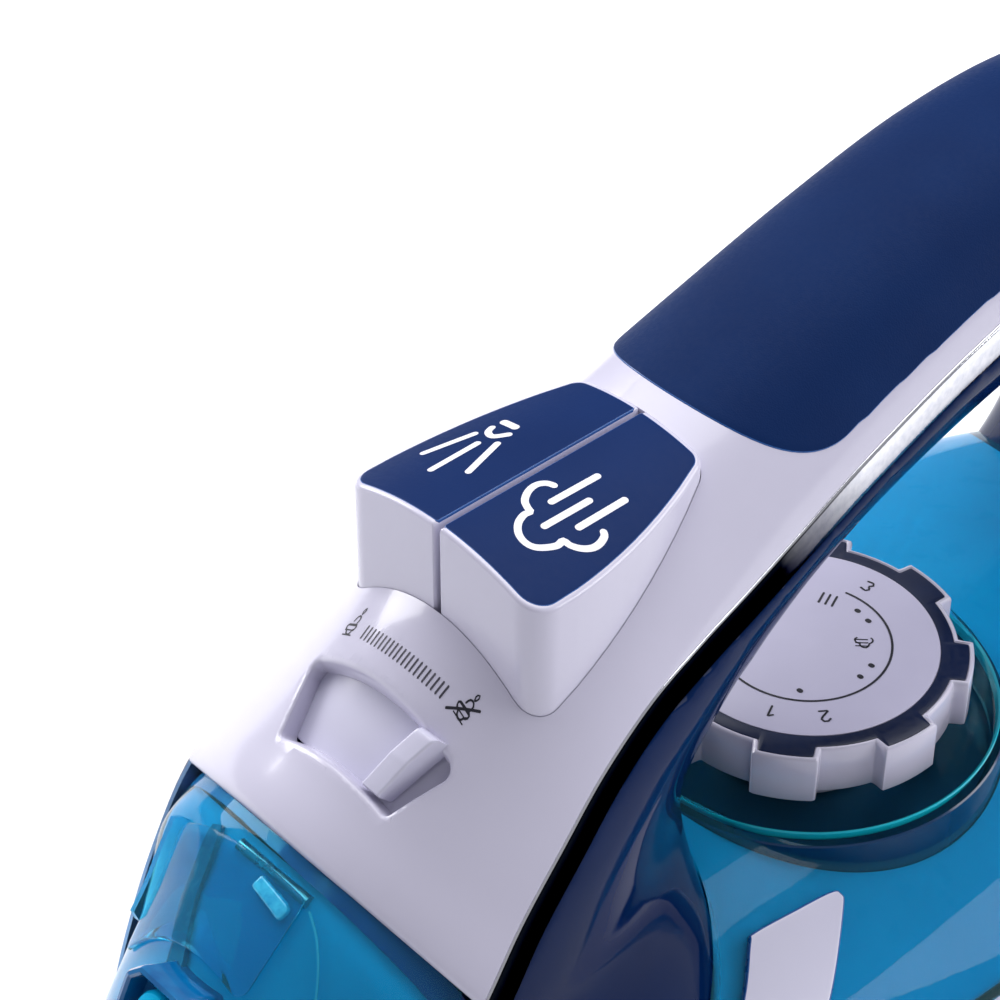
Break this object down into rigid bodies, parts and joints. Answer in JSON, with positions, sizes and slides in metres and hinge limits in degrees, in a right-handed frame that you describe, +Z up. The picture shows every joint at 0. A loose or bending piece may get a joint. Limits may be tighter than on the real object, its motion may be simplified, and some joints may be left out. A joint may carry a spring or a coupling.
{
  "type": "steam iron",
  "caption": "Household steam iron with a looped handle, press buttons on its front, a steam slider, a temperature dial below the grip and a clear tinted water tank.",
  "frame": {"origin": "middle of the footprint, on the ironing face", "axes": "+Z up, nose along -Y, +X to the iron's left as its user holds it"},
  "size_m": [0.118, 0.2823, 0.1473],
  "materials": {
    "soleplate": "satin",
    "element": "matt",
    "zinc": "satin",
    "white": "glossy",
    "tank": "glossy, tinted and clear",
    "seal": "matt",
    "navy_gloss": "glossy",
    "grip": "soft touch",
    "ink": "glossy",
    "chrome": "mirror",
    "natural": "matt",
    "steel": "satin",
    "brass": "satin",
    "lamp": "clear red"
  },
  "bodies": {
    "housing": {"soleplate": "soleplate", "heating_element": "element", "steam_chamber_cover": "zinc", "chamber_screws": "zinc", "rear_cover_screws": "zinc", "gland_clip": "zinc", "pump_bracket": "zinc", "slider_cradle": "zinc", "skirt": "white", "side_fin_left": "white", "side_fin_right": "white", "upper_shell": "white", "nozzle_tip": "white", "tank_shell": "tank", "tank_floor": "tank", "nozzle_housing": "tank", "tank_seal": "seal", "steam_hose": "seal", "spray_hose": "seal", "lower_handle": "navy_gloss", "rear_cover": "navy_gloss", "grip_pad": "grip", "chrome_trim_left": "chrome", "chrome_trim_right": "chrome", "steam_pump": "natural", "spray_pump": "natural", "terminal_block": "natural", "thermal_fuse": "natural", "door_pin": "steel", "steam_button_spring": "steel", "spray_button_spring": "steel", "thermostat": "steel", "valve_seat": "brass", "pilot_lens": "lamp"},
    "steam_button": {"steam_button": "white", "steam_button_cap": "grip", "steam_plunger": "natural"},
    "spray_button": {"spray_button": "white", "spray_button_cap": "grip", "spray_plunger": "natural"},
    "steam_slider": {"steam_slider": "white"},
    "valve": {"valve_rod": "brass"},
    "dial": {"dial_knob": "white", "dial_ring": "ink", "dial_face": "white", "dial_shaft": "steel"},
    "fill_door": {"fill_door": "tank"},
    "cord_swivel": {"cord_gland": "seal"}
  },
  "joints": [
    {"name": "steam_press", "type": "slide", "parent": "housing", "child": "steam_button", "axis": [0, 0, -1], "range_m": [0, 0.004], "stiffness_N_per_m": 700, "springref_m": -0.004, "deforming": ["steam_button_spring"]},
    {"name": "spray_press", "type": "slide", "parent": "housing", "child": "spray_button", "axis": [0, 0, -1], "range_m": [0, 0.004], "stiffness_N_per_m": 500, "springref_m": -0.004, "deforming": ["spray_button_spring"]},
    {"name": "steam_slide", "type": "hinge", "parent": "housing", "child": "steam_slider", "pos_m": [0, -0.03976, 0.0712], "axis": [0, -0.723, -0.6909], "range_deg": [0, 24]},
    {"name": "valve_lift", "type": "slide", "parent": "housing", "child": "valve", "axis": [0, 0, 1], "range_m": [0, 0.0033], "stiffness_N_per_m": 5, "springref_m": 0.0078},
    {"name": "dial_turn", "type": "hinge", "parent": "housing", "child": "dial", "pos_m": [0, 0.0293, 0.05], "axis": [0, 0, 1], "range_deg": [-270, 0]},
    {"name": "door_hinge", "type": "hinge", "parent": "housing", "child": "fill_door", "pos_m": [0, -0.08286, 0.08093], "axis": [-1, 0, 0], "range_deg": [0, 70]},
    {"name": "gland_swivel", "type": "hinge", "parent": "housing", "child": "cord_swivel", "pos_m": [0, 0.121, 0.121], "axis": [1, 0, 0], "range_deg": [-12, 12]}
  ],
  "couplings": [
    {"joint": "valve_lift", "follows": "steam_slide", "m_per_rad": 0.0075}
  ]
}
